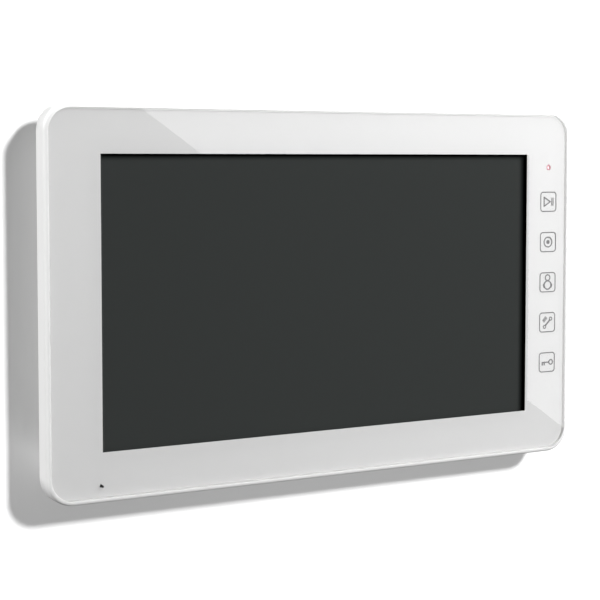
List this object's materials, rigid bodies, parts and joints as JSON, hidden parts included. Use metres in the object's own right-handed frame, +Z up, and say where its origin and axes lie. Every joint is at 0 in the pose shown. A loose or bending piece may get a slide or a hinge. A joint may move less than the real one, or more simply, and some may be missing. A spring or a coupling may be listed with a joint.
{
  "type": "video intercom monitor",
  "caption": "Slim white wall-mounted video intercom monitor with a wide dark screen, a column of printed touch keys, side controls, inner parts and a hook-on wall bracket.",
  "frame": {"origin": "centre of the wall bracket's back face, on the wall", "axes": "+X to the right seen from the front, +Z up, front of the monitor towards -Y"},
  "size_m": [0.2745, 0.024, 0.1676],
  "materials": {
    "zinc_steel": "zinc-plated sheet steel, faint rolling grain",
    "clear_glass": "clear, polished front, fine ground edge",
    "white_print": "opaque white ink printed behind the glass",
    "grey_ink": "grey printed line art",
    "red_ink": "translucent red",
    "tape": "double-sided acrylic foam tape",
    "white_sealant": "white silicone sealant, smoothed with a finger, satin",
    "white_abs": "moulded white ABS, satin, faint orange peel",
    "black_foam": "closed-cell foam, matt",
    "bare_steel": "thin pressed sheet steel",
    "milky_plastic": "white moulded frame",
    "dark_screen": "dark anti-glare polariser, unlit",
    "light_guide": "diffusing acrylic sheet",
    "circuit_board": "green solder mask over glass epoxy",
    "flat_cable": "white flat cable with printed conductors",
    "brass": "bright turned brass and gold plating",
    "chip_black": "black moulded epoxy",
    "ferrite": "dark sintered ferrite",
    "can_aluminium": "drawn aluminium can",
    "cream_plastic": "natural nylon",
    "red_plastic": "red nylon and red lead insulation",
    "black_rubber": "soft moulded rubber",
    "cone_paper": "pressed black paper cone",
    "black_plastic": "black moulded plastic",
    "black_steel": "black zinc-plated screws"
  },
  "bodies": {
    "bracket": {"wall_bracket": "zinc_steel"},
    "monitor": {"front_glass": "clear_glass", "glass_print": "white_print", "key_legends": "grey_ink", "power_symbol": "red_ink", "panel_adhesive": "tape", "glass_sealant": "white_sealant", "front_frame": "white_abs", "lcd_gasket": "black_foam", "lcd_bezel": "bare_steel", "lcd_mould_frame": "milky_plastic", "lcd_cell": "dark_screen", "lcd_backlight": "light_guide", "lcd_rear_tray": "bare_steel", "lcd_driver_board": "circuit_board", "lcd_ribbon": "flat_cable", "chassis_plate": "zinc_steel", "chassis_screws": "bare_steel", "board_standoffs": "brass", "main_board": "circuit_board", "board_screws": "bare_steel", "processor_chip": "chip_black", "memory_chips": "chip_black", "power_inductor": "ferrite", "capacitors": "can_aluminium", "ribbon_connectors": "cream_plastic", "terminal_sockets": "cream_plastic", "terminal_pins": "brass", "power_socket": "red_plastic", "wire_headers": "cream_plastic", "touch_board": "circuit_board", "touch_controller": "chip_black", "key_light_guide": "light_guide", "indicator_led": "red_ink", "touch_ribbon": "flat_cable", "mic_capsule": "can_aluminium", "mic_boot": "black_rubber", "mic_wires": "red_plastic", "speaker_basket": "bare_steel", "speaker_magnet": "ferrite", "speaker_cone": "cone_paper", "speaker_gasket": "black_foam", "speaker_screws": "bare_steel", "speaker_wires": "black_plastic", "adjust_board": "circuit_board", "adjust_ribbon": "flat_cable", "wheel_bases": "black_plastic", "power_switch_body": "bare_steel", "card_socket": "bare_steel", "rear_cover": "white_abs", "case_screws": "black_steel", "rubber_pads": "black_rubber"},
    "ring_volume_wheel": {"ring_volume_wheel": "white_abs"},
    "talk_volume_wheel": {"talk_volume_wheel": "white_abs"},
    "brightness_wheel": {"brightness_wheel": "white_abs"},
    "power_switch_knob": {"power_switch_knob": "black_plastic"}
  },
  "joints": [
    {"name": "monitor_lift", "type": "slide", "parent": "bracket", "child": "monitor", "axis": [0, 0, 1], "range_m": [0, 0.007]},
    {"name": "ring_volume_turn", "type": "hinge", "parent": "monitor", "child": "ring_volume_wheel", "pos_m": [0.1317, -0.01895, -0.018], "axis": [0, 1, 0], "range_deg": [-135, 135]},
    {"name": "talk_volume_turn", "type": "hinge", "parent": "monitor", "child": "talk_volume_wheel", "pos_m": [0.1317, -0.01895, -0.034], "axis": [0, 1, 0], "range_deg": [-135, 135]},
    {"name": "brightness_turn", "type": "hinge", "parent": "monitor", "child": "brightness_wheel", "pos_m": [0.1317, -0.01895, -0.05], "axis": [0, 1, 0], "range_deg": [-135, 135]},
    {"name": "power_switch_slide", "type": "slide", "parent": "monitor", "child": "power_switch_knob", "axis": [0, 0, 1], "range_m": [0, 0.003]}
  ]
}
